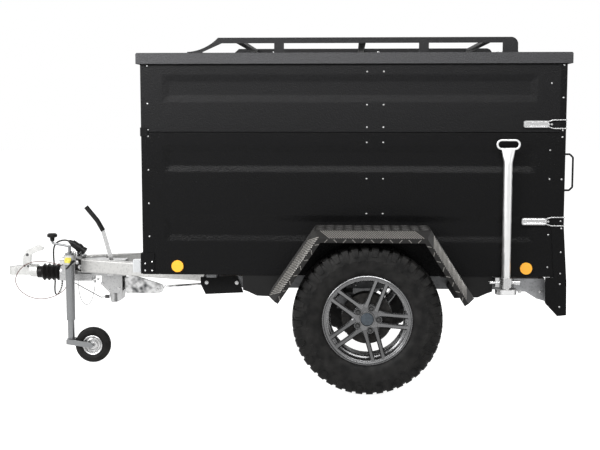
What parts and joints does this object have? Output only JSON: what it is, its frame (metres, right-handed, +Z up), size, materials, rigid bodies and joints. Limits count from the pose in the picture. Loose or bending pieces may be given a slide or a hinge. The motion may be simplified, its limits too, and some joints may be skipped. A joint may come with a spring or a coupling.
{
  "type": "off-road box trailer",
  "caption": "Off-road box trailer with a hinged lid, roof rack, tailgate, tread fenders, sliding prop stands, jockey wheel and overrun ball coupling.",
  "frame": {"origin": "on the ground, on the centre plane, at the middle of the whole length from coupling nose to tailgate handles", "axes": "+X to the rear, +Y to the trailer's right, +Z up"},
  "size_m": [3.032, 1.66, 1.747],
  "materials": {
    "black_powder": "textured black powder coat",
    "bar_black": "satin black",
    "frame_steel": "hot-dip galvanised, dull",
    "zinc": "bright zinc",
    "arm_black": "black",
    "tread_plate": "black treadplate",
    "gunmetal": "satin gunmetal",
    "tyre": "matt",
    "rubber": "matt",
    "black_plastic": "matt",
    "cable_red": "sheathed",
    "wire": "bright",
    "amber": "reflector",
    "white_lens": "lens",
    "red_lens": "lens"
  },
  "bodies": {
    "trailer": {"floor_panel": "black_powder", "side_wall_left": "black_powder", "side_wall_right": "black_powder", "upper_side_wall_left": "black_powder", "upper_side_wall_right": "black_powder", "front_wall": "black_powder", "upper_front_wall": "black_powder", "rear_posts": "black_powder", "hinge_brackets": "black_powder", "frame_rails": "frame_steel", "cross_members": "frame_steel", "drawbar_beams": "frame_steel", "rail_shoes": "black_plastic", "rail_end_plates": "frame_steel", "wheel_chocks": "black_plastic", "axle_beam": "frame_steel", "suspension_arms": "arm_black", "fender_left": "tread_plate", "fender_right": "tread_plate", "coupling_head": "zinc", "coupling_handle": "zinc", "bellows": "rubber", "overrun_housing": "frame_steel", "plug_holder": "zinc", "plug": "black_plastic", "plug_cable": "rubber", "breakaway_cable": "cable_red", "safety_wire": "wire", "lever_bracket": "frame_steel", "brake_lever": "zinc", "brake_linkage": "frame_steel", "jockey_clamp": "frame_steel", "jockey_outer_tube": "zinc", "grips": "black_plastic", "prop_clamps": "frame_steel", "latches": "zinc", "corner_brackets": "black_powder", "marker_lamps": "white_lens", "lamp_carriers": "black_powder", "tail_lamps": "red_lens", "side_reflectors": "amber"},
    "lid": {"lid": "black_powder", "rack_rails": "black_powder", "rack_bars": "bar_black"},
    "tailgate": {"tailgate": "black_powder", "tailgate_handles": "black_powder"},
    "rear_flap": {"rear_flap": "black_powder"},
    "wheel_left": {"tyre_left": "tyre", "rim_left": "gunmetal", "drum_left": "arm_black"},
    "wheel_right": {"tyre_right": "tyre", "rim_right": "gunmetal", "drum_right": "arm_black"},
    "prop_stand_left": {"prop_stand_left": "zinc"},
    "prop_stand_right": {"prop_stand_right": "zinc"},
    "jockey_tube": {"jockey_inner_tube": "zinc"},
    "jockey_fork": {"jockey_fork": "zinc"},
    "jockey_wheel": {"jockey_tyre": "tyre", "jockey_rim": "zinc"}
  },
  "joints": [
    {"name": "wheel_left_spin", "type": "hinge", "parent": "trailer", "child": "wheel_left", "pos_m": [0.489, -0.695, 0.369], "axis": [0, 1, 0], "continuous": true},
    {"name": "wheel_right_spin", "type": "hinge", "parent": "trailer", "child": "wheel_right", "pos_m": [0.489, 0.695, 0.369], "axis": [0, 1, 0], "continuous": true},
    {"name": "lid_hinge", "type": "hinge", "parent": "trailer", "child": "lid", "pos_m": [-0.677, 0, 1.609], "axis": [0, -1, 0], "range_deg": [0, 60]},
    {"name": "tailgate_hinge", "type": "hinge", "parent": "trailer", "child": "tailgate", "pos_m": [1.473, 0, 0.553], "axis": [0, 1, 0], "range_deg": [0, 90]},
    {"name": "rear_flap_hinge", "type": "hinge", "parent": "trailer", "child": "rear_flap", "pos_m": [1.45, 0, 1.594], "axis": [0, -1, 0], "range_deg": [0, 80]},
    {"name": "prop_left_drop", "type": "slide", "parent": "trailer", "child": "prop_stand_left", "axis": [0, 0, -1], "range_m": [0, 0.465]},
    {"name": "prop_right_drop", "type": "slide", "parent": "trailer", "child": "prop_stand_right", "axis": [0, 0, -1], "range_m": [0, 0.465]},
    {"name": "jockey_height", "type": "slide", "parent": "trailer", "child": "jockey_tube", "axis": [0, 0, 1], "range_m": [-0.06, 0.1]},
    {"name": "jockey_swivel", "type": "hinge", "parent": "jockey_tube", "child": "jockey_fork", "pos_m": [-1.135, -0.142, 0.13], "axis": [0, 0, 1], "continuous": true},
    {"name": "jockey_wheel_spin", "type": "hinge", "parent": "jockey_fork", "child": "jockey_wheel", "pos_m": [-1.013, -0.142, 0.098], "axis": [0, 1, 0], "continuous": true}
  ]
}
